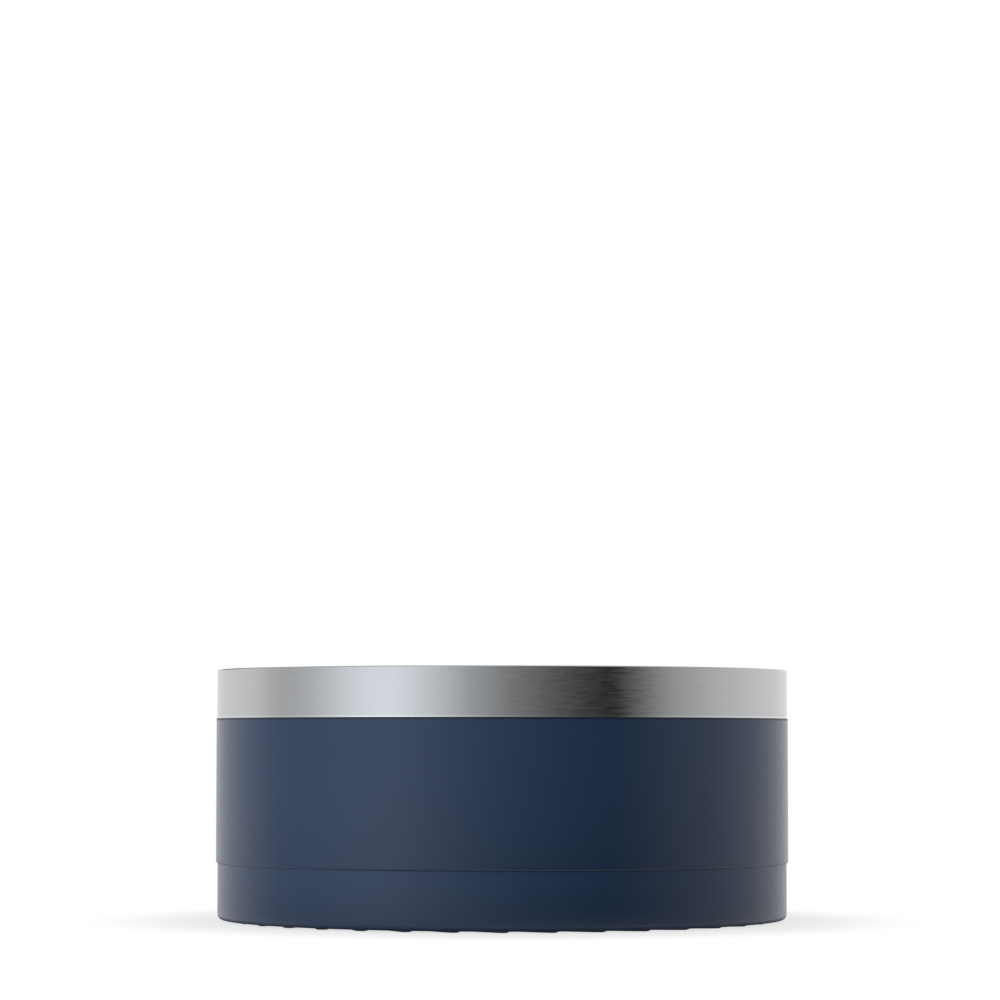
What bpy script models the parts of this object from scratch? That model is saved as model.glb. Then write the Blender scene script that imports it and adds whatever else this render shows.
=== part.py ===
"""An insulated steel dog bowl on a pull-off silicone boot.

Units are metres, +Z is up, and the origin is on the bowl's axis at floor level. The front is at -Y.
A drawn inner bowl and a drawn outer shell meet at the lip, a pan closes the shell's neck from below,
and the space between them is evacuated. The boot stretches over the neck and carries the tread.
"""

import math

import bmesh
import bpy
from mathutils import Matrix, Vector

MM = 0.001

# Overall form
WALL_RADIUS = 105.0 * MM  # over the powder coat
HEIGHT = 91.6 * MM
BAND_HEIGHT = 17.6 * MM  # bare steel under the lip
BOOT_HEIGHT = 20.7 * MM  # from the boot's lower edge to the seam under the wall

# Sheet metal and coating
SHEET = 0.6 * MM
COAT = 0.2 * MM
COAT_GAP = 0.1 * MM
FIT_GAP = 0.3 * MM  # between pieces that touch
LIP_RADIUS = 1.0 * MM
LIP_SEAM_RADIUS = 102.3 * MM  # where the two lips butt on the crown
LEDGE_EDGE_RADIUS = 0.75 * MM
NECK_RADIUS = 101.4 * MM
NECK_FILLET = 0.9 * MM
NECK_END = 8.0 * MM
COAT_END = 9.0 * MM

# Inner bowl
MOUTH_RADIUS = 100.0 * MM
MOUTH_LIP_RADIUS = 2.0 * MM
FLOOR_RADIUS = 97.0 * MM  # where wall and floor would meet without their fillet
FLOOR_HEIGHT = 16.0 * MM
FLOOR_FILLET = 26.0 * MM

# Silicone boot
BOOT_RADIUS = 104.4 * MM
BOOT_EDGE_RADIUS = 2.0 * MM
BOOT_TOP_ROUND = 0.4 * MM
BOOT_SEAM = 0.4 * MM  # open line between the wall and the boot
BOOT_FLANGE_TOP = 3.6 * MM
BOOT_HOLE_RADIUS = 76.0 * MM
TREAD_DROP = 0.6 * MM  # how far the lugs stand below the boot's edge
TREAD_RECESS = 0.6 * MM  # how far the floor between the lugs lies above that edge
TREAD_EDGE_RADIUS = 101.2 * MM
LUG_COUNT = 36
LUG_WIDTH = 4.4 * MM
LUG_LENGTH = 13.0 * MM  # between the centres of the round ends
LUG_SLANT = math.radians(45.0)
LUG_OUTER_RADIUS = 97.5 * MM
LUG_DRAFT = 0.35 * MM
LUG_ROOT = 0.8 * MM  # how far a lug reaches into the flange
LUG_CAP_STEPS = 4

# Base pan with its evacuation port
PAN_EDGE_RADIUS = 3.0 * MM
PAN_TOP = 13.0 * MM
PLATEAU_RADIUS = 72.0 * MM
PLATEAU_RISE = 2.0 * MM
PAN_STEP_WIDTH = 3.0 * MM
PAN_BEND = 1.2 * MM
DIMPLE_RADIUS = 5.0 * MM
DIMPLE_WIDTH = 2.0 * MM
DIMPLE_RISE = 1.5 * MM
PORT_RADIUS = 1.2 * MM

# Small pieces on the pan
BEAD_RADIUS = 3.6 * MM
BEAD_HEIGHT = 1.2 * MM
COVER_RADIUS = 14.0 * MM
COVER_THICKNESS = 0.6 * MM
GETTER_OFFSET = 45.0 * MM  # behind the bowl's axis
PILL_RADIUS = 4.5 * MM
PILL_HEIGHT = 2.8 * MM
PILL_CHAMFER = 0.5 * MM
CLIP_SHEET = 0.5 * MM
CLIP_WIDTH = 7.0 * MM
CLIP_LIP = 1.4 * MM

# Faceting
SEGMENTS = 60
PAN_SEGMENTS = 36
SMALL_SEGMENTS = 20
CHORD_DEPTH = 0.15 * MM  # how far a fillet's chords may lie from its arc
SHARP_ANGLE = math.radians(40.0)

# Heights that follow from the driving dimensions
BOOT_BOTTOM = TREAD_DROP
TREAD_FLOOR = TREAD_DROP + TREAD_RECESS
SEAM_HEIGHT = TREAD_DROP + BOOT_HEIGHT
BOOT_TOP = SEAM_HEIGHT - BOOT_SEAM / 2
BAND_EDGE = HEIGHT - BAND_HEIGHT
SHELL_RADIUS = WALL_RADIUS - COAT - COAT_GAP
LEDGE_HEIGHT = SEAM_HEIGHT + BOOT_SEAM / 2 + COAT + COAT_GAP
BOOT_INNER_RADIUS = NECK_RADIUS + COAT_GAP + COAT + FIT_GAP
PAN_RADIUS = NECK_RADIUS - SHEET - FIT_GAP
PAN_BOTTOM = BOOT_FLANGE_TOP + FIT_GAP
PLATEAU = PAN_BOTTOM + PLATEAU_RISE
DIMPLE = PLATEAU + DIMPLE_RISE


def rounded(corners):
    """Points of an open outline from its (radius, height, fillet) corners, each fillet a tangent arc."""
    points = [corners[0][:2]]
    for before, corner, after in zip(corners, corners[1:], corners[2:]):
        radius, height, fillet = corner
        if not fillet:
            points.append((radius, height))
            continue
        arrive = math.atan2(height - before[1], radius - before[0])
        leave = math.atan2(after[1] - height, after[0] - radius)
        turn = (leave - arrive + math.pi) % math.tau - math.pi
        side = math.copysign(math.pi / 2, turn)
        reach = fillet * math.tan(abs(turn) / 2)
        centre_r = radius - reach * math.cos(arrive) + fillet * math.cos(arrive + side)
        centre_z = height - reach * math.sin(arrive) + fillet * math.sin(arrive + side)
        widest = 2 * math.acos(max(0.0, 1.0 - CHORD_DEPTH / fillet))
        steps = math.ceil(abs(turn) / widest)
        for step in range(steps + 1):
            angle = arrive - side + turn * step / steps
            points.append((centre_r + fillet * math.cos(angle), centre_z + fillet * math.sin(angle)))
    points.append(corners[-1][:2])
    return points


def offset(points, distance):
    """The open outline moved to the left of its direction of travel, with mitred corners."""
    normals = []
    for (r0, z0), (r1, z1) in zip(points, points[1:]):
        length = math.hypot(r1 - r0, z1 - z0)
        normals.append((-(z1 - z0) / length, (r1 - r0) / length))
    before = [normals[0]] + normals
    after = normals + [normals[-1]]
    moved = []
    for (r, z), (ar, az), (br, bz) in zip(points, before, after):
        scale = distance / (1.0 + ar * br + az * bz)
        moved.append((r + (ar + br) * scale, z + (az + bz) * scale))
    return moved


def sheet_outline(contour, near, far):
    """Closed outline of a sheet between two offsets of one contour."""
    return offset(contour, near) + offset(contour, far)[::-1]


def add_object(name, bm, material, parent):
    """Turns a bmesh into a named, smooth-shaded object with one material."""
    bmesh.ops.recalc_face_normals(bm, faces=bm.faces)
    mesh = bpy.data.meshes.new(name)
    bm.to_mesh(mesh)
    bm.free()
    mesh.shade_smooth()
    mesh.set_sharp_from_angle(angle=SHARP_ANGLE)
    mesh.materials.append(material)
    obj = bpy.data.objects.new(name, mesh)
    obj.parent = parent
    bpy.context.scene.collection.objects.link(obj)
    return obj


def lathe(name, outline, material, parent, segments=SEGMENTS):
    """Spins a closed outline of (radius, height) points about the Z axis into a solid."""
    bm = bmesh.new()
    verts = [bm.verts.new((r, 0.0, z)) for r, z in outline]
    for a, b in zip(verts, verts[1:] + verts[:1]):
        if a.co.x > 1e-9 or b.co.x > 1e-9:
            bm.edges.new((a, b))
    bmesh.ops.spin(
        bm,
        geom=bm.verts[:] + bm.edges[:],
        axis=(0.0, 0.0, 1.0),
        cent=(0.0, 0.0, 0.0),
        angle=math.tau,
        steps=segments,
        use_merge=True,
    )
    bmesh.ops.remove_doubles(bm, verts=bm.verts, dist=1e-7)
    return add_object(name, bm, material, parent)


def prism(bm, lower, upper):
    """Adds a closed solid between two loops of points that have the same count."""
    low = [bm.verts.new(point) for point in lower]
    high = [bm.verts.new(point) for point in upper]
    bm.faces.new(low)
    bm.faces.new(high)
    for i in range(len(low)):
        j = (i + 1) % len(low)
        bm.faces.new((low[i], low[j], high[j], high[i]))


def finish(name, colour, roughness, metallic):
    """A Principled BSDF material with a linear base colour."""
    material = bpy.data.materials.new(name)
    material.use_nodes = True
    shader = material.node_tree.nodes["Principled BSDF"]
    shader.inputs["Base Color"].default_value = (*colour, 1.0)
    shader.inputs["Roughness"].default_value = roughness
    shader.inputs["Metallic"].default_value = metallic
    return material


def body_empty(name):
    """An empty on the bowl's axis that the pieces of one body hang from."""
    empty = bpy.data.objects.new(name, None)
    bpy.context.scene.collection.objects.link(empty)
    return empty


def shell_contour():
    """Outer face of the shell: crown, band and wall, the ledge under the wall, then the neck."""
    return rounded([
        (LIP_SEAM_RADIUS + FIT_GAP / 2, HEIGHT, 0.0),
        (SHELL_RADIUS, HEIGHT, LIP_RADIUS),
        (SHELL_RADIUS, LEDGE_HEIGHT, LEDGE_EDGE_RADIUS),
        (NECK_RADIUS, LEDGE_HEIGHT, NECK_FILLET),
        (NECK_RADIUS, NECK_END, 0.0),
    ])


def coat_contour():
    """The stretch of the shell's outer face that is coated."""
    return rounded([
        (SHELL_RADIUS, BAND_EDGE, 0.0),
        (SHELL_RADIUS, LEDGE_HEIGHT, LEDGE_EDGE_RADIUS),
        (NECK_RADIUS, LEDGE_HEIGHT, NECK_FILLET),
        (NECK_RADIUS, COAT_END, 0.0),
    ])


def make_inner_bowl(parent):
    """Drawn bowl: its wet face from the lip's butt edge down the wall to the middle of the floor."""
    contour = rounded([
        (LIP_SEAM_RADIUS - FIT_GAP / 2, HEIGHT, 0.0),
        (MOUTH_RADIUS, HEIGHT, MOUTH_LIP_RADIUS),
        (FLOOR_RADIUS, FLOOR_HEIGHT, FLOOR_FILLET),
        (0.0, FLOOR_HEIGHT, 0.0),
    ])
    steel = finish("brushed_inner_steel", (0.56, 0.57, 0.58), 0.32, 1.0)
    lathe("inner_bowl", sheet_outline(contour, 0.0, SHEET), steel, parent)


def make_outer_shell(parent):
    """Drawn shell, open at the neck."""
    steel = finish("brushed_band_steel", (0.56, 0.57, 0.58), 0.3, 1.0)
    lathe("outer_shell", sheet_outline(shell_contour(), 0.0, -SHEET), steel, parent)


def make_powder_coat(parent):
    """Navy skin over the shell's wall, ledge and neck."""
    navy = finish("navy_powder_coat", (0.014, 0.025, 0.052), 0.45, 0.0)
    lathe("powder_coat", sheet_outline(coat_contour(), COAT_GAP, COAT_GAP + COAT), navy, parent)


def make_base_pan(parent):
    """Pressed pan: a flange inside the neck, a flat foot ring, a raised plateau and the port's dimple."""
    contour = rounded([
        (PAN_RADIUS, PAN_TOP, 0.0),
        (PAN_RADIUS, PAN_BOTTOM, PAN_EDGE_RADIUS),
        (PLATEAU_RADIUS + PAN_STEP_WIDTH, PAN_BOTTOM, PAN_BEND),
        (PLATEAU_RADIUS, PLATEAU, PAN_BEND),
        (DIMPLE_RADIUS + DIMPLE_WIDTH, PLATEAU, PAN_BEND),
        (DIMPLE_RADIUS, DIMPLE, PAN_BEND),
        (PORT_RADIUS, DIMPLE, 0.0),
    ])
    steel = finish("plain_base_steel", (0.5, 0.51, 0.52), 0.4, 1.0)
    lathe("base_pan", sheet_outline(contour, 0.0, -SHEET), steel, parent, PAN_SEGMENTS)


def make_vacuum_seal(parent):
    """Melted glass bead over the port, in the dimple."""
    top = DIMPLE - FIT_GAP
    outline = rounded([
        (0.0, top, 0.0),
        (BEAD_RADIUS, top, 0.0),
        (BEAD_RADIUS, top - BEAD_HEIGHT, BEAD_HEIGHT * 0.9),
        (0.0, top - BEAD_HEIGHT, 0.0),
    ])
    glass = finish("sealing_glass", (0.12, 0.09, 0.07), 0.2, 0.0)
    lathe("vacuum_seal", outline, glass, parent, SMALL_SEGMENTS)


def make_seal_cover(parent):
    """Thin disc bonded under the plateau, over the port."""
    top = PLATEAU - FIT_GAP
    bottom = top - COVER_THICKNESS
    outline = [(0.0, top), (COVER_RADIUS, top), (COVER_RADIUS, bottom), (0.0, bottom)]
    steel = finish("cover_disc_steel", (0.55, 0.56, 0.57), 0.25, 1.0)
    lathe("seal_cover", outline, steel, parent, 2 * SMALL_SEGMENTS)


def make_getter(parent):
    """Gas-absorbing pill held on the plateau by a C-shaped clip."""
    clip_bottom = PLATEAU + SHEET + FIT_GAP
    pill_bottom = clip_bottom + CLIP_SHEET + FIT_GAP
    pill_top = pill_bottom + PILL_HEIGHT
    alloy = finish("getter_alloy", (0.2, 0.2, 0.2), 0.7, 0.6)
    pill = lathe("getter_pill", [
        (0.0, pill_top),
        (PILL_RADIUS - PILL_CHAMFER, pill_top),
        (PILL_RADIUS, pill_top - PILL_CHAMFER),
        (PILL_RADIUS, pill_bottom + PILL_CHAMFER),
        (PILL_RADIUS - PILL_CHAMFER, pill_bottom),
        (0.0, pill_bottom),
    ], alloy, parent, SMALL_SEGMENTS)
    pill.location.y = GETTER_OFFSET

    inner = PILL_RADIUS + FIT_GAP
    outer = inner + CLIP_SHEET
    lip = inner - CLIP_LIP
    floor = clip_bottom + CLIP_SHEET
    roof = pill_top + FIT_GAP
    half = [(outer, clip_bottom), (outer, roof + CLIP_SHEET), (lip, roof + CLIP_SHEET),
            (lip, roof), (inner, roof), (inner, floor)]
    section = half + [(-x, z) for x, z in reversed(half)]
    near = [(x, -CLIP_WIDTH / 2, z) for x, z in section]
    far = [(x, CLIP_WIDTH / 2, z) for x, z in section]
    bm = bmesh.new()
    prism(bm, near, far)
    steel = finish("clip_spring_steel", (0.45, 0.45, 0.46), 0.35, 1.0)
    clip = add_object("getter_clip", bm, steel, parent)
    clip.location.y = GETTER_OFFSET


def capsule(radius):
    """Outline of a lug with round ends, running from its outer end at the origin towards +Y."""
    points = []
    for centre, start in ((LUG_LENGTH, 0.0), (0.0, math.pi)):
        for step in range(LUG_CAP_STEPS + 1):
            angle = start + math.pi * step / LUG_CAP_STEPS
            points.append((radius * math.cos(angle), centre + radius * math.sin(angle)))
    return points


def make_tread_lugs(material, parent):
    """Ring of slanted lugs: at the front each runs from its outer end back and to the left."""
    bm = bmesh.new()
    for index in range(LUG_COUNT):
        turn = Matrix.Rotation(math.tau * index / LUG_COUNT, 4, "Z")
        outer_end = Matrix.Translation((0.0, -LUG_OUTER_RADIUS, 0.0))
        place = turn @ outer_end @ Matrix.Rotation(LUG_SLANT, 4, "Z")
        foot = [place @ Vector((x, y, 0.0)) for x, y in capsule(LUG_WIDTH / 2 - LUG_DRAFT)]
        root = [place @ Vector((x, y, TREAD_FLOOR + LUG_ROOT)) for x, y in capsule(LUG_WIDTH / 2)]
        prism(bm, foot, root)
    lugs = add_object("tread_lugs", bm, material, parent)
    lugs.hide_render = True
    lugs.display_type = "WIRE"
    return lugs


def make_non_slip_boot(parent):
    """L-section ring with a round lower edge, joined with its tread lugs."""
    silicone = finish("navy_silicone", (0.013, 0.023, 0.047), 0.55, 0.0)
    outline = rounded([
        (BOOT_INNER_RADIUS, BOOT_TOP, 0.0),
        (BOOT_RADIUS, BOOT_TOP, BOOT_TOP_ROUND),
        (BOOT_RADIUS, BOOT_BOTTOM, BOOT_EDGE_RADIUS),
        (TREAD_EDGE_RADIUS, BOOT_BOTTOM, 0.0),
        (TREAD_EDGE_RADIUS - TREAD_RECESS, TREAD_FLOOR, 0.0),
        (BOOT_HOLE_RADIUS, TREAD_FLOOR, 0.0),
        (BOOT_HOLE_RADIUS, BOOT_FLANGE_TOP, 0.0),
        (BOOT_INNER_RADIUS, BOOT_FLANGE_TOP, 0.0),
    ])
    boot = lathe("non_slip_boot", outline, silicone, parent)
    union = boot.modifiers.new("tread", "BOOLEAN")
    union.operation = "UNION"
    union.solver = "EXACT"
    union.object = make_tread_lugs(silicone, parent)


for old in list(bpy.data.objects):
    bpy.data.objects.remove(old)

bowl = body_empty("bowl_body")
boot_body = body_empty("boot_body")
make_inner_bowl(bowl)
make_outer_shell(bowl)
make_powder_coat(bowl)
make_base_pan(bowl)
make_vacuum_seal(bowl)
make_seal_cover(bowl)
make_getter(bowl)
make_non_slip_boot(boot_body)
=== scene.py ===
"""Looks of an insulated steel dog bowl on a pull-off silicone boot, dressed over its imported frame.

Metres, +Z up. The bowl's axis is Z, it stands on Z = 0, and its front faces -Y.
"""

import math

import bpy
import numpy as np
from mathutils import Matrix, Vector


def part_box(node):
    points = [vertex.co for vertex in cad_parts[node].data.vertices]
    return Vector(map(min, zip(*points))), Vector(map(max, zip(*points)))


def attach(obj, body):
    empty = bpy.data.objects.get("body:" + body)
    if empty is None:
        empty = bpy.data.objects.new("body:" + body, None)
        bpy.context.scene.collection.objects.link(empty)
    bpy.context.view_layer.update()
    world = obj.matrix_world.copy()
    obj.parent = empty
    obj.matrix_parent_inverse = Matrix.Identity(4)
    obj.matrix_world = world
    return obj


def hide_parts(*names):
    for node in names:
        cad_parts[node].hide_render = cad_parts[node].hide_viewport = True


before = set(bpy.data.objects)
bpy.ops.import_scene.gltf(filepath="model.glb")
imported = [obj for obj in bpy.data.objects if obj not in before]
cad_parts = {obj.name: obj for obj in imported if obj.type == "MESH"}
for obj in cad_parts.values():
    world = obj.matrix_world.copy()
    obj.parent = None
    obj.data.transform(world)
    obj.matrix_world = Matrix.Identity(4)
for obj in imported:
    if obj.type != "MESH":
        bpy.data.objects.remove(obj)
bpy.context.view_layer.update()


# Inner bowl
# Stainless steel sheet, deep drawn in one piece, its lip turned outwards and welded to the shell's lip.
# The wet side is brushed while the bowl spins on a chuck, so its hair lines are rings about the axis.
MM = 0.001
SHEET = 0.6 * MM
LEAST_FILLET = 0.1 * MM  # inside a bend that is tighter than the sheet is thick
LIP_GAP = 0.15 * MM  # from the CAD lip's edge to the middle of the ground-flush weld
MOUTH_RADIUS = 100.0 * MM
MOUTH_LIP_RADIUS = 2.0 * MM
FLOOR_RADIUS = 97.0 * MM  # where wall and floor would meet without their fillet
FLOOR_FILLET = 26.0 * MM
FLOOR_CROWN = 0.25 * MM  # the drawn floor stands a little higher in the middle
ARC_STEPS = 6  # chords in the shortest fillet, with one more for each millimetre of arc
RING_SEGMENTS = 360
ON_AXIS = 1e-9  # a smaller radius than this is a pole
CREASE = math.radians(40.0)  # a sharper edge than this isn't smoothed
STEEL_GREY = "#DADBDC"
NOISE_LOW, NOISE_HIGH = 0.3, 0.7  # nearly all of a noise texture's values lie between these
HAIR_DULL = 0.55  # noise value from which a hair line has its full roughness
HAIR_DETAIL, HAIR_BLEND = 3.0, 0.55  # octaves of the lines' noise, and the weight of each against the last
HAIR_TINT = 0.015  # share by which a hair line is darker or lighter than the steel
HAIR_DEPTH = 0.01 * MM
RELIEF_STRENGTH = 0.3
# share by which a painted highlight brightens the steel's colour
HIGHLIGHT_GAIN = 1.25
ANISOTROPY = 0.75

bowl_low, bowl_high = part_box("inner_bowl")
LIP_TOP = bowl_high.z
LIP_SEAM_RADIUS = bowl_high.x + LIP_GAP
FLOOR_TOP = bowl_low.z + SHEET


def rounded(corners):
    """Outline of (radius, height) points: straight runs between (radius, height, fillet) corners.

    Each fillet is an arc tangent to both sides, its centre one fillet radius off each of them.
    """
    points = [np.array([corners[0][:2]])]
    for before, corner, after in zip(corners, corners[1:], corners[2:]):
        here, fillet = np.array(corner[:2]), corner[2]
        arrive = math.atan2(here[1] - before[1], here[0] - before[0])
        leave = math.atan2(after[1] - here[1], after[0] - here[0])
        turn = (leave - arrive + math.pi) % math.tau - math.pi
        side = math.copysign(math.pi / 2, turn)
        start = here - fillet * math.tan(abs(turn) / 2) * np.array([math.cos(arrive), math.sin(arrive)])
        centre = start + fillet * np.array([math.cos(arrive + side), math.sin(arrive + side)])
        steps = ARC_STEPS + int(abs(turn) * fillet / MM)
        sweep = arrive - side + turn * np.linspace(0.0, 1.0, steps + 1)
        points.append(centre + fillet * np.stack([np.cos(sweep), np.sin(sweep)], axis=1))
    points.append(np.array([corners[-1][:2]]))
    return np.concatenate(points)


def offset(corners, distance):
    """Outline whose straight runs lie a distance to the left of those between the corners.

    A corner moves along its mitre, the sum of its two runs' normals n and m over 1 + n.m. Its fillet keeps
    its centre, so its radius shrinks by the distance in a left turn and grows by it in a right turn.
    """
    place, fillet = np.split(np.array(corners), [2], axis=1)
    run = np.diff(place, axis=0)
    normal = np.stack([-run[:, 1], run[:, 0]], axis=1) / np.linalg.norm(run, axis=1)[:, None]
    before, after = np.concatenate([normal[:1], normal]), np.concatenate([normal, normal[-1:]])
    mitre = (before + after) / (1.0 + np.sum(before * after, axis=1, keepdims=True))
    turn = before[:, :1] * after[:, 1:] - before[:, 1:] * after[:, :1]
    fillet = np.maximum(fillet - distance * np.sign(turn), LEAST_FILLET)
    moved = place + distance * mitre
    moved[place[:, 0] == 0.0, 0] = 0.0  # a point on the axis stays on it
    return rounded(np.concatenate([moved, fillet], axis=1))


def sheet_outline(corners, thickness):
    """Closed outline of a sheet: out along its face, and back along the offset one thickness away."""
    return np.concatenate([offset(corners, 0.0), offset(corners, thickness)[::-1]])


def turned_grid(outline, segments, swirl=0.0):
    """Points of a turned surface: (radius sin a, -radius cos a, height), with a the angle from the front.

    swirl turns each ring by an angle of its own, so that columns can run slantwise.
    """
    angle = np.linspace(0.0, math.tau, segments, endpoint=False)[None, :] + np.reshape(swirl, (-1, 1))
    radius, height = outline[:, :1], outline[:, 1:]
    return np.stack([radius * np.sin(angle), -radius * np.cos(angle), height + 0.0 * angle], axis=2)


def mesh_object(name, points, faces):
    """An object in the scene whose mesh has these points and faces."""
    mesh = bpy.data.meshes.new(name)
    mesh.from_pydata(points, [], faces)
    made = bpy.data.objects.new(name, mesh)
    bpy.context.scene.collection.objects.link(made)
    return made


def smoothed(made):
    """The object, shaded smooth over every edge but the creases."""
    made.data.shade_smooth()
    made.data.set_sharp_from_angle(angle=CREASE)
    return made


def grid_object(name, outline, grid):
    """Closed mesh over a grid whose columns go round the axis and whose rows follow the outline.

    The outline closes on itself. Where it meets the axis, a row shrinks to a pole.
    UV map "profile" holds, in metres, the length along the outline and the length of arc around the axis.
    """
    rows, columns = grid.shape[:2]
    pole = outline[:, 0] < ON_AXIS
    keep = ~pole[:, None] | (np.arange(columns) == 0)
    first = np.cumsum(np.where(pole, 1, columns)) - np.where(pole, 1, columns)
    index = first[:, None] + np.where(pole[:, None], 0, np.arange(columns + 1) % columns)
    here = np.flatnonzero(~(pole & np.roll(pole, -1)))  # no faces between two poles
    there = (here + 1) % rows
    faces = np.stack([index[here, :-1], index[there, :-1], index[there, 1:], index[here, 1:]], axis=2)

    closed = np.concatenate([outline, outline[:1]])
    along = np.concatenate([[0.0], np.cumsum(np.linalg.norm(np.diff(closed, axis=0), axis=1))])
    around = np.linspace(0.0, math.tau, columns + 1) * outline[:, 0].max()
    u = np.stack([along[here], along[here + 1], along[here + 1], along[here]], axis=1)[:, None, :]
    v = np.stack([around[:-1], around[:-1], around[1:], around[1:]], axis=1)[None, :, :]
    uv = np.stack(np.broadcast_arrays(u, v), axis=3)

    points = grid[keep]
    a, b, c, d = (points[faces[..., k]] for k in range(4))
    volume = np.sum(a * np.cross(b, c)) + np.sum(a * np.cross(c, d))
    order = [0, 1, 2, 3] if volume > 0 else [3, 2, 1, 0]
    faces, uv = faces[..., order].reshape(-1, 4), uv[..., order, :].reshape(-1, 4, 2)

    fresh = faces != np.roll(faces, 1, axis=1)  # a corner that repeats its neighbour at a pole is dropped
    made = mesh_object(name, points, [face[ok].tolist() for face, ok in zip(faces, fresh)])
    made.data.uv_layers.new(name="profile").data.foreach_set("uv", uv[fresh].ravel())
    return smoothed(made)


def turned(name, outline, segments=RING_SEGMENTS):
    """A plain turned piece: its outline carried once around the axis."""
    return grid_object(name, outline, turned_grid(outline, segments))


def linear(code):
    """A #RRGGBB sRGB colour as linear RGBA: dark values over 12.92, the others by a power of 2.4."""
    part = np.array([int(code[k:k + 2], 16) for k in (1, 3, 5)]) / 255.0
    part = np.where(part <= 0.04045, part / 12.92, ((part + 0.055) / 1.055) ** 2.4)
    return (*part.tolist(), 1.0)


def add(tree, kind, feeds, **settings):
    """Adds a node: settings are its properties, and feeds gives its inputs a value or an output to read."""
    made = tree.nodes.new(kind)
    for name, value in settings.items():
        setattr(made, name, value)
    for name, value in feeds.items():
        if isinstance(value, bpy.types.NodeSocket):
            tree.links.new(value, made.inputs[name])
        else:
            made.inputs[name].default_value = value
    return made


def new_material(name):
    """An empty node material and its shader."""
    material = bpy.data.materials.new(name)
    material.use_nodes = True
    return material, material.node_tree, material.node_tree.nodes["Principled BSDF"]


def brushed_steel(name, colour, line, run, smooth, rough, sway, painted_highlight=None):
    """Stainless steel brushed around the axis: hair lines one line wide and about one run long.

    The eye sees light drawn out across the lines and kept sharp along them. The smoother lines scatter less
    light from above and below, so they show as fine dark streaks. Each line leans a little to the left or
    to the right, by sway at most, so that the edge of a reflection is ragged. The last argument gives two
    heights, and from the first down to the second the colour is painted a quarter brighter, a painted
    highlight.
    Real hair lines are some 0.05 mm wide, so they are drawn coarser here to show at all.
    """
    material, tree, shader = new_material(name)
    place = add(tree, "ShaderNodeTexCoord", {}).outputs["Object"]
    place = add(tree, "ShaderNodeSeparateXYZ", {"Vector": place}).outputs
    length = add(tree, "ShaderNodeUVMap", {}, uv_map="profile").outputs["UV"]
    length = add(tree, "ShaderNodeSeparateXYZ", {"Vector": length}).outputs["X"]
    stretched = add(tree, "ShaderNodeCombineXYZ", {"X": place["X"], "Y": place["Y"], "Z": length}).outputs[0]
    scale = (1.0 / run, 1.0 / run, 1.0 / line)
    lines = add(tree, "ShaderNodeMapping", {"Vector": stretched, "Scale": scale}).outputs[0]
    hair = add(tree, "ShaderNodeTexNoise", {
        "Vector": lines, "Scale": 1.0, "Detail": HAIR_DETAIL, "Roughness": HAIR_BLEND}).outputs["Fac"]
    sheen = add(tree, "ShaderNodeMapRange", {
        "Value": hair, "From Min": NOISE_LOW, "From Max": HAIR_DULL,
        "To Min": smooth, "To Max": rough}).outputs[0]
    tint = add(tree, "ShaderNodeMapRange", {
        "Value": hair, "From Min": NOISE_LOW, "From Max": NOISE_HIGH,
        "To Min": 1.0 - HAIR_TINT, "To Max": 1.0 + HAIR_TINT}).outputs[0]
    # a painted highlight: the colour is made brighter between two heights
    if painted_highlight:
        gain = add(tree, "ShaderNodeMapRange", {
            "Value": place["Z"], "From Min": painted_highlight[0], "From Max": painted_highlight[1],
            "To Min": 1.0, "To Max": HIGHLIGHT_GAIN}).outputs[0]
        tint = add(tree, "ShaderNodeMath", {0: tint, 1: gain}, operation="MULTIPLY").outputs[0]
    grey = add(tree, "ShaderNodeVectorMath", {0: linear(colour)[:3], "Scale": tint}, operation="SCALE")
    tree.links.new(grey.outputs[0], shader.inputs["Base Color"])
    tree.links.new(sheen, shader.inputs["Roughness"])
    relief = add(tree, "ShaderNodeBump", {
        "Height": hair, "Strength": RELIEF_STRENGTH, "Distance": HAIR_DEPTH}).outputs[0]
    lean = add(tree, "ShaderNodeMapRange", {
        "Value": hair, "From Min": NOISE_LOW, "From Max": NOISE_HIGH,
        "To Min": -sway, "To Max": sway}).outputs[0]
    up = (0.0, 0.0, 1.0)
    facing = add(tree, "ShaderNodeNewGeometry", {}).outputs["Normal"]
    aside = add(tree, "ShaderNodeVectorMath", {0: up, 1: facing}, operation="CROSS_PRODUCT").outputs[0]
    aside = add(tree, "ShaderNodeVectorMath", {0: aside, "Scale": lean}, operation="SCALE").outputs[0]
    turned_away = add(tree, "ShaderNodeVectorMath", {0: relief, 1: aside}, operation="ADD").outputs[0]
    turned_away = add(tree, "ShaderNodeVectorMath", {0: turned_away}, operation="NORMALIZE").outputs[0]
    tree.links.new(turned_away, shader.inputs["Normal"])
    across = add(tree, "ShaderNodeTangent", {}, direction_type="UV_MAP", uv_map="profile").outputs[0]
    tree.links.new(across, shader.inputs["Tangent"])
    shader.inputs["Metallic"].default_value = 1.0
    shader.inputs["Anisotropic"].default_value = ANISOTROPY
    return material


wet_side = [
    (LIP_SEAM_RADIUS, LIP_TOP, 0.0),
    (MOUTH_RADIUS, LIP_TOP, MOUTH_LIP_RADIUS),
    (FLOOR_RADIUS, FLOOR_TOP, FLOOR_FILLET),
    (0.0, FLOOR_TOP + FLOOR_CROWN, 0.0),
]
inner_bowl = turned("inner_bowl_sheet", sheet_outline(wet_side, SHEET))
# Satin steel: soft upright streaks of light on the wall, and faint rings around it.
inner_bowl.data.materials.append(brushed_steel(
    "brushed_inner_steel", STEEL_GREY, line=0.7 * MM, run=14.0 * MM, smooth=0.17, rough=0.27, sway=0.02))
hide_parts("inner_bowl")
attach(inner_bowl, "bowl")
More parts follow.
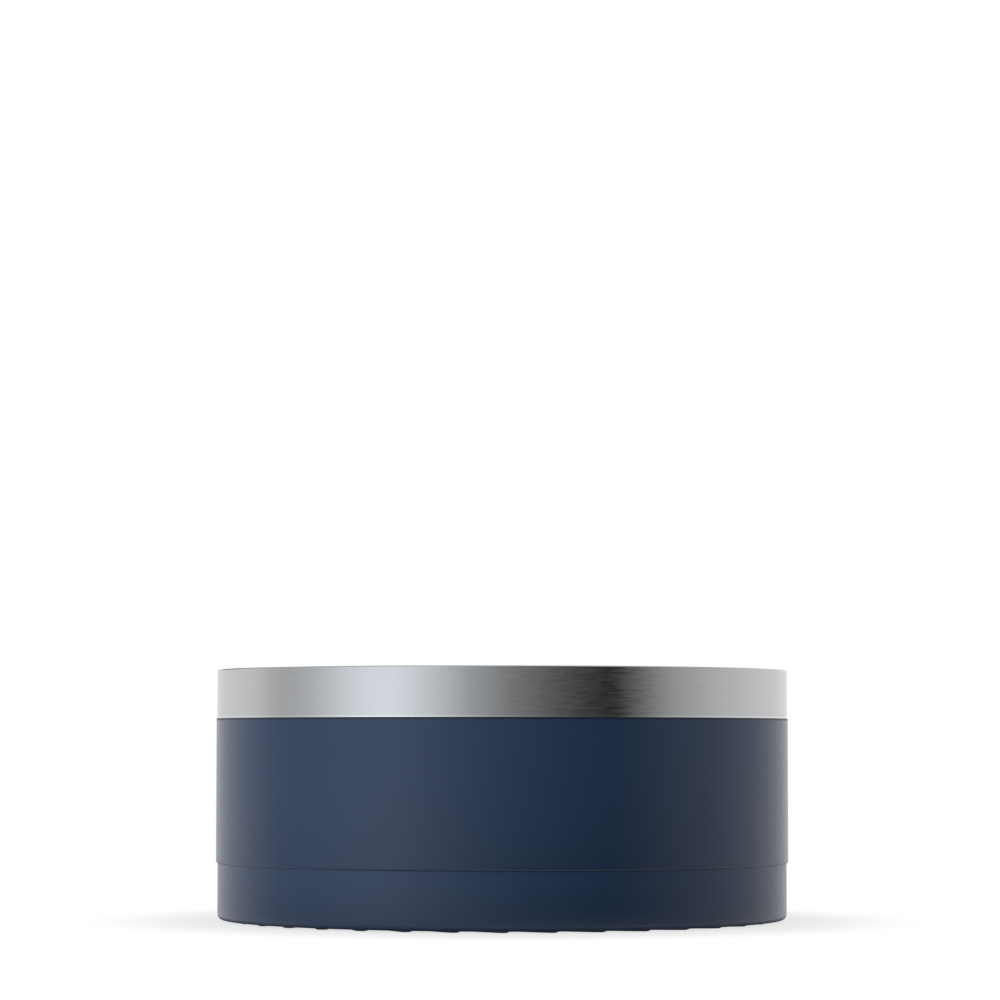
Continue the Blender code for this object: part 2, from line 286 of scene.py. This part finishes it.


# Outer shell
# Stainless steel sheet, drawn and joggled in at the bottom to a neck. Its lip is welded to the inner bowl's
# and ground flush. Its top band stays bare and is brushed around the axis after coating. A painted
# highlight, a bright hairline, runs along its lower edge above the coat.
LIP_RADIUS = 0.45 * MM
LEDGE_EDGE_RADIUS = 0.4 * MM
NECK_FILLET = 0.9 * MM
NECK_INSET = 3.3 * MM  # from the band's face to the neck's
HIGHLIGHT_LINE = 0.5 * MM  # height of the painted highlight, a bright hairline along the band's lower edge,
HIGHLIGHT_FADE = 0.25 * MM  # and of its fade above that
MASK_DROP = 0.08 * MM  # from the CAD coat's upper edge down to the masked line
COAT_GAP = 0.1 * MM  # from the steel to the coat
COAT = 0.2 * MM  # the coat's thickness
SEAM_HEIGHT = 21.2 * MM  # the line between the wall and the boot
SEAM_LINE = 0.01 * MM  # the boot's soft top edge springs up close to the wall

shell_low, shell_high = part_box("outer_shell")
BAND_RADIUS = shell_high.x
NECK_RADIUS = BAND_RADIUS - NECK_INSET
BAND_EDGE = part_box("powder_coat")[1].z - MASK_DROP
LEDGE = SEAM_HEIGHT + SEAM_LINE / 2 + COAT + COAT_GAP

shell_face = [
    (LIP_SEAM_RADIUS, LIP_TOP, 0.0),
    (BAND_RADIUS, LIP_TOP, LIP_RADIUS),
    (BAND_RADIUS, LEDGE, LEDGE_EDGE_RADIUS),
    (NECK_RADIUS, LEDGE, NECK_FILLET),
    (NECK_RADIUS, shell_low.z, 0.0),
]
outer_shell = turned("outer_shell_sheet", sheet_outline(shell_face, -SHEET))
# Finely brushed steel: thin dark streaks around the band, ragged edges on its reflections, and a painted
# highlight, a bright line, along its lower edge.
outer_shell.data.materials.append(brushed_steel(
    "brushed_band_steel", STEEL_GREY, line=0.42 * MM, run=5.5 * MM, smooth=0.11, rough=0.265, sway=0.005,
    painted_highlight=(BAND_EDGE + HIGHLIGHT_LINE + HIGHLIGHT_FADE, BAND_EDGE + HIGHLIGHT_LINE)))
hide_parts("outer_shell")
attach(outer_shell, "bowl")


# Powder coat
# Navy polyester powder, sprayed on the shell below a masked line and baked to a satin skin.
# It ends at the band in a soft rounded edge, and follows the ledge and the neck under the wall.
COAT_EDGE_RADIUS = 0.09 * MM
COAT_BEND = 1.2 * MM  # height over which the coat dulls, and its colour takes a painted shade, where it turns under the wall
BRIM_SHADE_START = 0.9 * MM  # below the coat's upper edge, where its painted shade starts,
BRIM_SHADE_FULL = 0.6 * MM  # and where that painted shade is darkest
ORANGE_PEEL, PEEL_DEPTH = 1.6 * MM, 0.005 * MM  # width and height of the baked powder's pebbles
DRIFT_WIDTH = 35.0 * MM  # of the slow drift in a skin's colour
DRIFT_TINT = 0.02  # share by which that drift darkens or lightens it
GLOSS_SPREAD = 0.02  # by which the roughness varies from pebble to pebble
GRAIN_DETAIL = 1.0  # octaves of a skin's noise
NAVY = "#354A6B"

coat_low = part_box("powder_coat")[0]


def navy_skin(name, colour, shine, rough, grain, depth, foot, brim):
    """A dyed satin skin: an even colour with a slow drift, and a fine grain that breaks up the gloss.

    shine is the strength of its gloss. grain is the width of its pebbles, and depth their height. foot and
    brim are changes near its lower and upper edge: from the height start to the height full, the roughness
    turns to rough, and the colour is painted darker, as shade, to a share of itself, shade.
    """
    material, tree, shader = new_material(name)
    place = add(tree, "ShaderNodeTexCoord", {}).outputs["Object"]
    height = add(tree, "ShaderNodeSeparateXYZ", {"Vector": place}).outputs["Z"]
    drift = add(tree, "ShaderNodeTexNoise", {
        "Vector": place, "Scale": 1.0 / DRIFT_WIDTH, "Detail": GRAIN_DETAIL}).outputs["Fac"]
    shade = add(tree, "ShaderNodeMapRange", {
        "Value": drift, "From Min": NOISE_LOW, "From Max": NOISE_HIGH,
        "To Min": 1.0 - DRIFT_TINT, "To Max": 1.0 + DRIFT_TINT}).outputs[0]
    pebble = add(tree, "ShaderNodeTexNoise", {
        "Vector": place, "Scale": 1.0 / grain, "Detail": GRAIN_DETAIL}).outputs["Fac"]
    gloss = add(tree, "ShaderNodeMapRange", {
        "Value": pebble, "From Min": NOISE_LOW, "From Max": NOISE_HIGH,
        "To Min": rough - GLOSS_SPREAD, "To Max": rough + GLOSS_SPREAD}).outputs[0]
    # each change can paint shade: it darkens the colour to a share of itself
    for change in (foot, brim):
        share = add(tree, "ShaderNodeMapRange", {
            "Value": height, "From Min": change["start"], "From Max": change["full"]},
            interpolation_type="SMOOTHSTEP").outputs[0]
        shade = add(tree, "ShaderNodeMix", {"Factor": share, "A": shade, "B": change["shade"]}).outputs[0]
        gloss = add(tree, "ShaderNodeMix", {"Factor": share, "A": gloss, "B": change["rough"]}).outputs[0]
    dye = add(tree, "ShaderNodeVectorMath", {0: linear(colour)[:3], "Scale": shade}, operation="SCALE")
    tree.links.new(dye.outputs[0], shader.inputs["Base Color"])
    tree.links.new(gloss, shader.inputs["Roughness"])
    relief = add(tree, "ShaderNodeBump", {
        "Height": pebble, "Strength": RELIEF_STRENGTH, "Distance": depth}).outputs[0]
    tree.links.new(relief, shader.inputs["Normal"])
    shader.inputs["Specular IOR Level"].default_value = shine
    return material


coat_face = [
    (BAND_RADIUS, BAND_EDGE, 0.0),
    (BAND_RADIUS, LEDGE, LEDGE_EDGE_RADIUS),
    (NECK_RADIUS, LEDGE, NECK_FILLET),
    (NECK_RADIUS, coat_low.z, 0.0),
]
outside = offset(coat_face, COAT_GAP + COAT)
inside = offset(coat_face, COAT_GAP)[::-1]
soft_edge = rounded([
    (inside[-1][0], BAND_EDGE - COAT, 0.0),
    (inside[-1][0], BAND_EDGE, COAT_EDGE_RADIUS),
    (outside[0][0], BAND_EDGE, COAT_EDGE_RADIUS),
    (outside[0][0], BAND_EDGE - COAT, 0.0),
])
powder_coat = turned("powder_coat_skin", np.concatenate([soft_edge, outside[1:], inside[:-1]]))
coat_foot = LEDGE - COAT_GAP - COAT
# Baked polyester: even navy with a soft sheen, duller just under the band and at the wall's foot, where its
# colour is painted darker as shade.
powder_coat.data.materials.append(navy_skin(
    "navy_powder_coat", NAVY, shine=0.41, rough=0.22, grain=ORANGE_PEEL, depth=PEEL_DEPTH,
    # at the foot and the brim the colour is painted darker, a painted shade
    foot=dict(start=coat_foot + COAT_BEND, full=coat_foot, rough=0.35, shade=0.75),
    brim=dict(start=BAND_EDGE - BRIM_SHADE_START, full=BAND_EDGE - BRIM_SHADE_FULL, rough=0.4, shade=0.4)))
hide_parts("powder_coat")
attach(powder_coat, "bowl")


# Base pan
# Pressed stainless steel, pushed up into the neck and welded round its edge to close the vacuum space.
# Its middle is raised, and a dimple there holds the evacuation port.
PAN_EDGE_RADIUS = 3.0 * MM
PAN_BEND = 1.2 * MM
PLATEAU_RADIUS = 72.0 * MM
PAN_STEP_WIDTH = 3.0 * MM
PLATEAU_RISE = 2.0 * MM
DIMPLE_RADIUS = 5.0 * MM
DIMPLE_WIDTH = 2.0 * MM
DIMPLE_RISE = 1.5 * MM
PORT_RADIUS = 1.2 * MM
MILL_GREY = "#BBBCBD"

pan_low, pan_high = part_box("base_pan")
PLATEAU = pan_low.z + PLATEAU_RISE
pan_face = [
    (pan_high.x, pan_high.z, 0.0),
    (pan_high.x, pan_low.z, PAN_EDGE_RADIUS),
    (PLATEAU_RADIUS + PAN_STEP_WIDTH, pan_low.z, PAN_BEND),
    (PLATEAU_RADIUS, PLATEAU, PAN_BEND),
    (DIMPLE_RADIUS + DIMPLE_WIDTH, PLATEAU, PAN_BEND),
    (DIMPLE_RADIUS, PLATEAU + DIMPLE_RISE, PAN_BEND),
    (PORT_RADIUS, PLATEAU + DIMPLE_RISE, 0.0),
]
base_pan = turned("base_pan_sheet", sheet_outline(pan_face, -SHEET))
# Plain mill finish: a duller, darker grey than the brushed pieces, with broad soft reflections.
base_pan.data.materials.append(brushed_steel(
    "plain_base_steel", MILL_GREY, line=1.2 * MM, run=40.0 * MM, smooth=0.32, rough=0.42, sway=0.01))
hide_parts("base_pan")
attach(base_pan, "bowl")


# Port seal
# A bead of brown sealing glass, which melts over the port in the vacuum oven and closes it. The glass runs a
# little way up into the port and freezes below it as a low dome.
BEAD_GAP = 0.02 * MM  # from the dimple's face to the glass
BEAD_PLUG = 0.45 * MM  # how far the glass stands in the port
PLUG_GAP = 0.05 * MM  # from the port's edge to the glass
BEAD_FILLET = 0.15 * MM
DOME_POINTS = 24
SMALL_SEGMENTS = 96
SPECK_DETAIL = 3.0  # octaves of a grain's noise
SPECK_TINT = 0.2  # share by which a grain is darker or lighter
SPECK_GLOSS = 0.1  # by which its roughness varies
GLASS_BROWN = "#61534A"

bead_low, bead_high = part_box("vacuum_seal")
BEAD_TOP = PLATEAU + DIMPLE_RISE - BEAD_GAP
PLUG_RADIUS = PORT_RADIUS - PLUG_GAP


def low_dome(radius, top, bottom):
    """Outline of a hanging drop, from its rim to its lowest point: a quarter of an ellipse."""
    swing = np.linspace(math.pi / 2, 0.0, DOME_POINTS)
    return np.stack([radius * np.sin(swing), top - (top - bottom) * np.cos(swing)], axis=1)


def speckled(name, colour, rough, metallic, grain):
    """A sintered, melted or rolled solid: its colour and its gloss vary from one grain to the next."""
    material, tree, shader = new_material(name)
    place = add(tree, "ShaderNodeTexCoord", {}).outputs["Object"]
    speck = add(tree, "ShaderNodeTexNoise", {
        "Vector": place, "Scale": 1.0 / grain, "Detail": SPECK_DETAIL}).outputs["Fac"]
    spread = add(tree, "ShaderNodeMapRange", {
        "Value": speck, "From Min": NOISE_LOW, "From Max": NOISE_HIGH,
        "To Min": 1.0 - SPECK_TINT, "To Max": 1.0 + SPECK_TINT}).outputs[0]
    shade = add(tree, "ShaderNodeVectorMath", {0: linear(colour)[:3], "Scale": spread}, operation="SCALE")
    tree.links.new(shade.outputs[0], shader.inputs["Base Color"])
    gloss = add(tree, "ShaderNodeMapRange", {
        "Value": speck, "To Min": rough - SPECK_GLOSS, "To Max": rough + SPECK_GLOSS}).outputs[0]
    tree.links.new(gloss, shader.inputs["Roughness"])
    shader.inputs["Metallic"].default_value = metallic
    return material


bead_top = rounded([
    (0.0, BEAD_TOP + BEAD_PLUG, 0.0),
    (PLUG_RADIUS, BEAD_TOP + BEAD_PLUG, BEAD_FILLET),
    (PLUG_RADIUS, BEAD_TOP, BEAD_FILLET),
    (bead_high.x, BEAD_TOP, 0.0),
])
bead_outline = np.concatenate([bead_top[:-1], low_dome(bead_high.x, BEAD_TOP, bead_low.z)])
bead = turned("vacuum_seal_bead", bead_outline, SMALL_SEGMENTS)
# Melted sealing glass: an opaque brown drop, glossy and a little cloudy.
bead.data.materials.append(speckled(
    "sealing_glass", GLASS_BROWN, rough=0.25, metallic=0.0, grain=0.8 * MM))
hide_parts("vacuum_seal")
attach(bead, "bowl")


# Seal cover
# A thin stamped steel disc with rounded edges, bonded over the dimple, flat under the plateau.
# It keeps knocks away from the glass.
COVER_EDGE_RADIUS = 0.2 * MM
COVER_SEGMENTS = 144

cover_low, cover_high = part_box("seal_cover")
cover = turned("seal_cover_disc", rounded([
    (0.0, cover_high.z, 0.0),
    (cover_high.x, cover_high.z, COVER_EDGE_RADIUS),
    (cover_high.x, cover_low.z, COVER_EDGE_RADIUS),
    (0.0, cover_low.z, 0.0),
]), COVER_SEGMENTS)
# Stamped steel, brushed: brighter than the pan around it, with a soft glint that turns about the middle.
cover.data.materials.append(brushed_steel(
    "cover_disc_steel", STEEL_GREY, line=0.6 * MM, run=20.0 * MM, smooth=0.22, rough=0.3, sway=0.01))
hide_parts("seal_cover")
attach(cover, "bowl")


# Getter clip
# A strip of spring steel, folded to a C and spot welded by its back to the pan, inside the vacuum space.
# Its two lips reach over the pill and hold it down.
CLIP_SHEET = 0.5 * MM
CLIP_BEND = 0.6 * MM
CLIP_LIP = 1.9 * MM  # from the clip's side to the end of its lip
CLIP_GREY = "#B3B3B4"

clip_low, clip_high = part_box("getter_clip")


def folded_strip(name, corners, thickness, start, end):
    """Closed mesh of a strip folded along (x, height, fillet) corners, from start to end along Y.

    A rectangle is carried along the fold: two points on the outer face, and two a thickness away on the
    inner one.
    """
    outer, inner = offset(corners, 0.0), offset(corners, thickness)
    lines = ((outer, start), (outer, end), (inner, end), (inner, start))
    points = np.stack([np.insert(line, 1, y, axis=1) for line, y in lines], axis=1).reshape(-1, 3)
    index = np.arange(len(points)).reshape(-1, 4)
    beside = np.roll(index, -1, axis=1)
    sides = np.stack([index[:-1], beside[:-1], beside[1:], index[1:]], axis=2).reshape(-1, 4)
    return smoothed(mesh_object(
        name, points, [*sides.tolist(), index[0, ::-1].tolist(), index[-1].tolist()]))


fold = [
    (clip_low.x + CLIP_LIP, clip_high.z, 0.0),
    (clip_low.x, clip_high.z, CLIP_BEND),
    (clip_low.x, clip_low.z, CLIP_BEND),
    (clip_high.x, clip_low.z, CLIP_BEND),
    (clip_high.x, clip_high.z, CLIP_BEND),
    (clip_high.x - CLIP_LIP, clip_high.z, 0.0),
]
clip = folded_strip("getter_clip_strip", fold, CLIP_SHEET, clip_low.y, clip_high.y)
# Rolled spring steel: bare grey metal, bright but slightly blotched.
clip.data.materials.append(speckled(
    "clip_spring_steel", CLIP_GREY, rough=0.35, metallic=1.0, grain=0.6 * MM))
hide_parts("getter_clip")
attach(clip, "bowl")


# Getter pill
# Grey gas-absorbing metal powder, pressed to a pill with chamfered edges. It lies loose under the clip's
# lips and keeps the vacuum clean once the bowl is sealed.
PILL_CHAMFER = 0.5 * MM
PILL_FILLET = 0.15 * MM
PILL_GREY = "#7C7C7C"

pill_low, pill_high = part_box("getter_pill")
pill_middle = (pill_low + pill_high) / 2
PILL_RADIUS = pill_high.x
pill_outline = rounded([
    (0.0, pill_high.z, 0.0),
    (PILL_RADIUS - PILL_CHAMFER, pill_high.z, PILL_FILLET),
    (PILL_RADIUS, pill_high.z - PILL_CHAMFER, PILL_FILLET),
    (PILL_RADIUS, pill_low.z + PILL_CHAMFER, PILL_FILLET),
    (PILL_RADIUS - PILL_CHAMFER, pill_low.z, PILL_FILLET),
    (0.0, pill_low.z, 0.0),
])
pill_grid = turned_grid(pill_outline, SMALL_SEGMENTS) + np.array([pill_middle.x, pill_middle.y, 0.0])
pill = grid_object("getter_pill_tablet", pill_outline, pill_grid)
# Pressed metal powder: dark grey, dull and finely speckled, with only a hint of metal.
pill.data.materials.append(speckled(
    "getter_alloy", PILL_GREY, rough=0.65, metallic=0.8, grain=0.3 * MM))
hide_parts("getter_pill")
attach(pill, "bowl")


# Non-slip boot
# Navy silicone, moulded in one piece: an L-section ring stretched over the neck, flush with the wall but for
# a hair. Its underside carries a ring of slanted lugs with round ends, which grip the floor.
BOOT_EDGE_RADIUS = 2.0 * MM
BOOT_TOP_ROUND = 0.05 * MM
BOOT_INNER_RADIUS = 102.0 * MM
BOOT_BRIM = 0.6 * MM  # height over which the gloss dulls towards the boot's upper edge
FLANGE_TOP = 3.6 * MM
HOLE_RADIUS = 76.0 * MM
TREAD_DROP = 0.6 * MM  # how far the lugs stand below the boot's edge
TREAD_FLOOR = 1.2 * MM  # height of the underside between the lugs
TREAD_EDGE_RADIUS = 101.2 * MM
TREAD_STEP = 0.9 * MM  # width of the eased step from the boot's edge up to that height
TREAD_INNER_RADIUS = 83.0 * MM
TREAD_ROW = 0.45 * MM  # from one ring of points to the next
LUG_COUNT = 36
LUG_COLUMNS = 22  # columns of points from one lug to the next
LUG_RADIUS = 97.5 * MM  # centre of each lug's outer end
LUG_LENGTH = 13.0 * MM
LUG_WIDTH = 6.0 * MM  # at half its height
LUG_SIDE = 3.2 * MM  # width of its sloped, rounded side
LUG_SLANT = math.radians(45.0)
MOULD_ROUND = 0.3 * MM
MOULD_GRAIN, GRAIN_DEPTH = 1.5 * MM, 0.004 * MM
SILICONE_NAVY = "#394F72"

BOOT_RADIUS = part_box("non_slip_boot")[1].x
BOOT_TOP = SEAM_HEIGHT - SEAM_LINE / 2


def eased(share):
    """3 s^2 - 2 s^3 of a share s that is first held between 0 and 1."""
    share = np.clip(share, 0.0, 1.0)
    return share * share * (3.0 - 2.0 * share)


def lug_lean(radius):
    """Angle from a lug's outer end to its middle line at each radius, for a straight line at LUG_SLANT.

    The reach is the length along that line, from the outer end to where it crosses the radius.
    """
    held = np.clip(radius, TREAD_INNER_RADIUS, TREAD_EDGE_RADIUS)
    reach = LUG_RADIUS * math.cos(LUG_SLANT) - np.sqrt(held**2 - (LUG_RADIUS * math.sin(LUG_SLANT)) ** 2)
    return np.arctan2(-reach * math.sin(LUG_SLANT), LUG_RADIUS - reach * math.cos(LUG_SLANT))


def lug_height(radius, lean):
    """Share of a lug's full height: 1 within its capsule, easing to 0 across its side.

    The distance is that to the lug's middle line, cut off at its two ends, which makes the round ends.
    """
    pitch = math.tau / LUG_COUNT
    # each column's angle from the nearest lug
    turn = (np.arange(LUG_COUNT * LUG_COLUMNS) / LUG_COLUMNS + 0.5) % 1.0 * pitch - pitch / 2
    angle = lean[:, None] + turn[None, :]
    x, y = radius[:, None] * np.sin(angle), LUG_RADIUS - radius[:, None] * np.cos(angle)
    along = np.clip(-x * math.sin(LUG_SLANT) + y * math.cos(LUG_SLANT), 0.0, LUG_LENGTH)
    away = np.hypot(x + along * math.sin(LUG_SLANT), y - along * math.cos(LUG_SLANT))
    return eased((LUG_WIDTH / 2 + LUG_SIDE / 2 - away) / LUG_SIDE)


# The outline starts and ends on the straight inner wall, so its two ends meet without a corner.
outer_side = rounded([
    (BOOT_INNER_RADIUS, FLANGE_TOP + 2 * BOOT_EDGE_RADIUS, 0.0),
    (BOOT_INNER_RADIUS, BOOT_TOP, MOULD_ROUND),
    (BOOT_RADIUS, BOOT_TOP, BOOT_TOP_ROUND),
    (BOOT_RADIUS, TREAD_DROP, BOOT_EDGE_RADIUS),
    (BOOT_RADIUS - BOOT_EDGE_RADIUS - TREAD_ROW / 2, TREAD_DROP, 0.0),
])
tread_rows = np.arange(outer_side[-1, 0] - TREAD_ROW, TREAD_INNER_RADIUS, -TREAD_ROW)
tread_rise = eased((TREAD_EDGE_RADIUS - tread_rows) / TREAD_STEP)
tread = np.stack([tread_rows, TREAD_DROP + (TREAD_FLOOR - TREAD_DROP) * tread_rise], axis=1)
inner_side = rounded([
    (TREAD_INNER_RADIUS - TREAD_ROW, TREAD_FLOOR, 0.0),
    (HOLE_RADIUS, TREAD_FLOOR, MOULD_ROUND),
    (HOLE_RADIUS, FLANGE_TOP, MOULD_ROUND),
    (BOOT_INNER_RADIUS, FLANGE_TOP, BOOT_EDGE_RADIUS),
    (BOOT_INNER_RADIUS, FLANGE_TOP + BOOT_EDGE_RADIUS + MOULD_ROUND, 0.0),
])
boot_outline = np.concatenate([outer_side, tread, inner_side])
boot_lean = lug_lean(boot_outline[:, 0])
boot_grid = turned_grid(boot_outline, LUG_COUNT * LUG_COLUMNS, boot_lean)
on_tread = slice(len(outer_side), len(outer_side) + len(tread))
lugs = TREAD_FLOOR * (1.0 - lug_height(tread_rows, boot_lean[on_tread]))
boot_grid[on_tread, :, 2] = np.minimum(boot_grid[on_tread, :, 2], lugs)
boot = grid_object("non_slip_boot_moulding", boot_outline, boot_grid)
# Moulded silicone: a navy one shade lighter than the coat and a little less glossy, dull at the lugs and
# painted darker there as shade. Its mould grain is some 0.1 mm wide, too fine to show, so it is drawn
# coarser.
boot.data.materials.append(navy_skin(
    "navy_silicone", SILICONE_NAVY, shine=0.36, rough=0.24, grain=MOULD_GRAIN, depth=GRAIN_DEPTH,
    # the lugs' colour is painted darker here, a painted shade
    foot=dict(start=TREAD_DROP + BOOT_EDGE_RADIUS, full=TREAD_DROP, rough=0.8, shade=0.7),
    brim=dict(start=BOOT_TOP - BOOT_BRIM, full=BOOT_TOP, rough=0.3, shade=1.0)))
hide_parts("non_slip_boot")
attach(boot, "boot")


# Studio floor
# A pale round of matt board under the bowl, which fades out into the white void and keeps the bowl's shadow.
# A glow on it lifts what the camera and reflections see up to white, but less near a touching surface, a
# painted contact shade.
BOARD_DROP = 0.1 * MM  # below the lugs' ends
BOARD_SOLID, BOARD_END = 0.105, 0.16  # radius where the round starts to fade, and where it has gone
BOARD_ALBEDO = 0.25
BOARD_ROUGHNESS = 0.9
BOARD_LIFT = 0.74  # strength of the glow
BOARD_CONTACT = 3.0 * MM  # a surface nearer than this reflects less of the glow, as painted contact shade,
BOARD_NEAR_LIFT = 0.2  # down to this where it touches the floor
HOOP_POINTS = 128

ring = np.linspace(0.0, math.tau, HOOP_POINTS, endpoint=False)
circle = np.stack([np.cos(ring), np.sin(ring)], axis=1)
floor_points = np.insert(BOARD_END * circle, 2, -BOARD_DROP, axis=1)
floor = mesh_object("floor", floor_points, [list(range(HOOP_POINTS))])

# Matt white board: no gloss, seen from above only.
material, tree, shader = new_material("white_floor")
shader.inputs["Base Color"].default_value = (BOARD_ALBEDO, BOARD_ALBEDO, BOARD_ALBEDO, 1.0)
shader.inputs["Roughness"].default_value = BOARD_ROUGHNESS
shader.inputs["Specular IOR Level"].default_value = 0.0
path = add(tree, "ShaderNodeLightPath", {}).outputs
seen = path["Is Camera Ray"]
for kind in ("Is Glossy Ray", "Is Transmission Ray"):
    seen = add(tree, "ShaderNodeMath", {0: seen, 1: path[kind]}, operation="MAXIMUM").outputs[0]
lift = add(tree, "ShaderNodeMapRange", {
    "Value": path["Ray Length"], "From Min": 0.0, "From Max": BOARD_CONTACT,
    "To Min": BOARD_NEAR_LIFT, "To Max": BOARD_LIFT}).outputs[0]
lift = add(tree, "ShaderNodeMath", {0: seen, 1: lift}, operation="MULTIPLY").outputs[0]
glow = add(tree, "ShaderNodeEmission", {"Strength": lift}).outputs[0]
pale = add(tree, "ShaderNodeAddShader", {0: shader.outputs[0], 1: glow}).outputs[0]
place = add(tree, "ShaderNodeTexCoord", {}).outputs["Object"]
reach = add(tree, "ShaderNodeVectorMath", {0: place}, operation="LENGTH").outputs["Value"]
solid = add(tree, "ShaderNodeMapRange", {
    "Value": reach, "From Min": BOARD_SOLID, "From Max": BOARD_END, "To Min": 1.0, "To Max": 0.0},
    interpolation_type="SMOOTHSTEP").outputs[0]
under = add(tree, "ShaderNodeNewGeometry", {}).outputs["Backfacing"]
solid = add(tree, "ShaderNodeMath", {0: solid, 1: under}, operation="SUBTRACT", use_clamp=True).outputs[0]
clear = add(tree, "ShaderNodeBsdfTransparent", {}).outputs[0]
pale = add(tree, "ShaderNodeMixShader", {0: solid, 1: clear, 2: pale}).outputs[0]
tree.links.new(pale, tree.nodes["Material Output"].inputs["Surface"])
floor.data.materials.append(material)


# Studio net
# A graded net round the bowl with a grey lid on it, clear at the front left and black at the front right,
# which gives the bare steel its shading. A black flag hangs in it at the back left, above the rim. The
# camera sees none of it.
NET_RADIUS = 0.5
NET_LOW, NET_HIGH = -0.3, 0.36
LID_HOLE = 0.1  # radius of the round hole in the lid
LID_FROM = NET_HIGH - 1.0 * MM  # all above this height is lid
LID_GREY = (0.5, 0.5, 0.5, 1.0)
FLAG_COMPASS = math.radians(-155.0)
FLAG_CORE, FLAG_FADE = math.radians(15.0), math.radians(35.0)  # to each side of its middle
FLAG_LOW, FLAG_FULL = 0.165, 0.175  # heights between which its hem fades in
FLAG_BLACK = (0.03, 0.03, 0.03, 1.0)
# Degrees from the front, to the right; share of light let through there; blue over red in that light.
NET_STOPS = [
    (-180.0, 0.87, 1.0), (-142.0, 0.75, 1.0), (-128.0, 0.74, 1.0), (-106.0, 0.67, 1.0),
    (-87.0, 0.48, 1.02), (-66.0, 0.69, 1.08), (-47.0, 0.95, 1.11), (-33.0, 0.87, 1.11),
    (-15.0, 0.51, 1.08), (0.0, 0.27, 1.05), (14.0, 0.14, 1.02), (35.0, 0.03, 1.0),
    (43.0, 0.05, 1.0), (60.0, 0.32, 1.0), (80.0, 0.51, 1.0), (103.0, 0.65, 1.0),
    (142.0, 0.78, 1.0), (180.0, 0.87, 1.0),
]

hoops = ((NET_RADIUS, NET_LOW), (NET_RADIUS, NET_HIGH), (LID_HOLE, NET_HIGH))
net_points = np.concatenate([np.insert(radius * circle, 2, height, axis=1) for radius, height in hoops])
here = np.arange(HOOP_POINTS)
beside = (here + 1) % HOOP_POINTS
curtain = np.stack([here, beside, beside + HOOP_POINTS, here + HOOP_POINTS], axis=1)
net = mesh_object("graded_net", net_points, np.concatenate([curtain, curtain + HOOP_POINTS]).tolist())
net.visible_camera = False

# Fine gauze: it only dims and tints the light that comes through it.
material, tree, _ = new_material("graded_net")
place = add(tree, "ShaderNodeTexCoord", {}).outputs["Object"]
way = add(tree, "ShaderNodeSeparateXYZ", {"Vector": place}).outputs
front = add(tree, "ShaderNodeMath", {0: way["Y"], 1: -1.0}, operation="MULTIPLY").outputs[0]
compass = add(tree, "ShaderNodeMath", {0: way["X"], 1: front}, operation="ARCTAN2").outputs[0]
compass = add(tree, "ShaderNodeMapRange", {
    "Value": compass, "From Min": -math.pi, "From Max": math.pi}).outputs[0]
weave = add(tree, "ShaderNodeValToRGB", {"Fac": compass})
weave.color_ramp.interpolation = "CARDINAL"
while len(weave.color_ramp.elements) < len(NET_STOPS):
    weave.color_ramp.elements.new(0.5)  # between the first and the last, until it gets its place below
for element, (angle, level, blue) in zip(weave.color_ramp.elements, NET_STOPS):
    element.position = (angle + 180.0) / 360.0
    element.color = (level / math.sqrt(blue), level, level * math.sqrt(blue), 1.0)
lid = add(tree, "ShaderNodeMath", {0: way["Z"], 1: LID_FROM}, operation="GREATER_THAN").outputs[0]
tone = add(tree, "ShaderNodeMix", {
    "Factor": lid, "A": weave.outputs["Color"], "B": LID_GREY}, data_type="RGBA").outputs["Result"]
middle = (math.sin(FLAG_COMPASS), -math.cos(FLAG_COMPASS), 0.0)
side = add(tree, "ShaderNodeVectorMath", {0: place, 1: middle}, operation="DOT_PRODUCT").outputs["Value"]
side = add(tree, "ShaderNodeMapRange", {
    "Value": side, "From Min": NET_RADIUS * math.cos(FLAG_FADE),
    "From Max": NET_RADIUS * math.cos(FLAG_CORE)}, interpolation_type="SMOOTHSTEP").outputs[0]
hem = add(tree, "ShaderNodeMapRange", {
    "Value": way["Z"], "From Min": FLAG_LOW, "From Max": FLAG_FULL}).outputs[0]
flag = add(tree, "ShaderNodeMath", {0: side, 1: hem}, operation="MULTIPLY").outputs[0]
tone = add(tree, "ShaderNodeMix", {
    "Factor": flag, "A": tone, "B": FLAG_BLACK}, data_type="RGBA").outputs["Result"]
gauze = add(tree, "ShaderNodeBsdfTransparent", {"Color": tone}).outputs[0]
tree.links.new(gauze, tree.nodes["Material Output"].inputs["Surface"])
net.data.materials.append(material)


# Studio light
# An even white void all around, which lights the bowl through the net and is the background.
# The picture is shown as it is, with no film curve.
world = bpy.data.worlds.new("white_void")
bpy.context.scene.world = world
world.use_nodes = True
world.node_tree.nodes["Background"].inputs["Color"].default_value = (1.0, 1.0, 1.0, 1.0)
bpy.context.scene.view_settings.view_transform = "Standard"


# Camera
# A long lens straight in front of the bowl, its eye level with the upper wall and tilted up a little. It
# stands where the rim, the band's edge, the seam and the bottom curve fall as in the photograph.
EYE = (-0.00079, -1.45356, 0.06546)
TILT = math.radians(3.5133)
ROLL = -0.0008  # in radians
FOCAL_LENGTH, SENSOR_WIDTH = 141.7, 36.0  # in millimetres, as Blender takes them
NEAR, FAR = 0.05, 20.0

lens = bpy.data.cameras.new("camera")
lens.sensor_width = SENSOR_WIDTH
lens.lens = FOCAL_LENGTH
lens.clip_start, lens.clip_end = NEAR, FAR
camera = bpy.data.objects.new("camera", lens)
camera.location = EYE
camera.rotation_euler = (math.pi / 2 + TILT, ROLL, 0.0)
bpy.context.scene.collection.objects.link(camera)
bpy.context.scene.camera = camera
